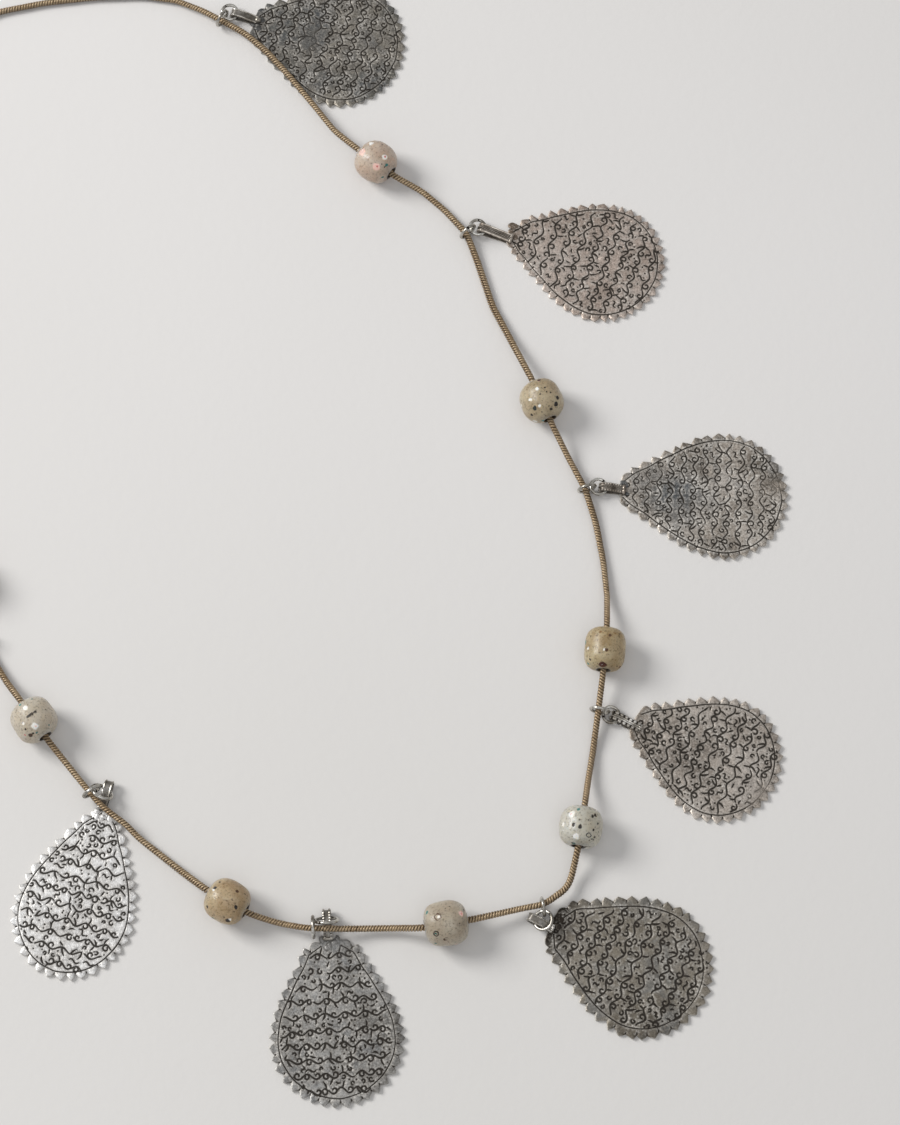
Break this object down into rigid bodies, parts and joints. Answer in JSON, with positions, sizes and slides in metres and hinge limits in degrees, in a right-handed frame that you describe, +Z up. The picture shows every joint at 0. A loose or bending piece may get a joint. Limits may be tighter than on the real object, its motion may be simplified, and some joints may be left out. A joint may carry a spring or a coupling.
{
  "type": "charm necklace",
  "caption": "Charm necklace lying in an open loop: flat toothed silver drops hang from a snake chain on jump rings, with speckled glass beads threaded between them.",
  "frame": {"origin": "middle of the necklace's outline, on the flat surface it lies on", "axes": "+Z up from the surface, +Y along the longest extent of the open loop, from the drop that hangs lowest towards the closed end, +X to the right when seen from above"},
  "size_m": [0.2564, 0.2826, 0.0104],
  "materials": {
    "chain_metal": "dull brownish gilt metal, dark between the links",
    "clasp_silver": "plain turned silver, slightly dulled",
    "pendant_silver": "old hand-engraved silver with dark tarnish in the lines",
    "ring_silver": "bright silver wire",
    "bead_glass": "worn translucent glass with coloured specks and dark pits"
  },
  "bodies": {
    "root": {"chain": "chain_metal", "clasp": "clasp_silver", "pendant_1": "pendant_silver", "pendant_2": "pendant_silver", "pendant_3": "pendant_silver", "pendant_4": "pendant_silver", "pendant_5": "pendant_silver", "pendant_6": "pendant_silver", "pendant_7": "pendant_silver", "pendant_8": "pendant_silver", "pendant_9": "pendant_silver", "chain_ring_1": "ring_silver", "chain_ring_2": "ring_silver", "chain_ring_3": "ring_silver", "chain_ring_4": "ring_silver", "chain_ring_5": "ring_silver", "chain_ring_6": "ring_silver", "chain_ring_7": "ring_silver", "chain_ring_8": "ring_silver", "chain_ring_9": "ring_silver", "bail_ring_1": "ring_silver", "bail_ring_2": "ring_silver", "bail_ring_3": "ring_silver", "bail_ring_4": "ring_silver", "bail_ring_5": "ring_silver", "bail_ring_6": "ring_silver", "bail_ring_7": "ring_silver", "bail_ring_8": "ring_silver", "bail_ring_9": "ring_silver", "bead_1": "bead_glass", "bead_2": "bead_glass", "bead_3": "bead_glass", "bead_4": "bead_glass", "bead_5": "bead_glass", "bead_6": "bead_glass", "bead_7": "bead_glass", "bead_8": "bead_glass"}
  },
  "joints": []
}
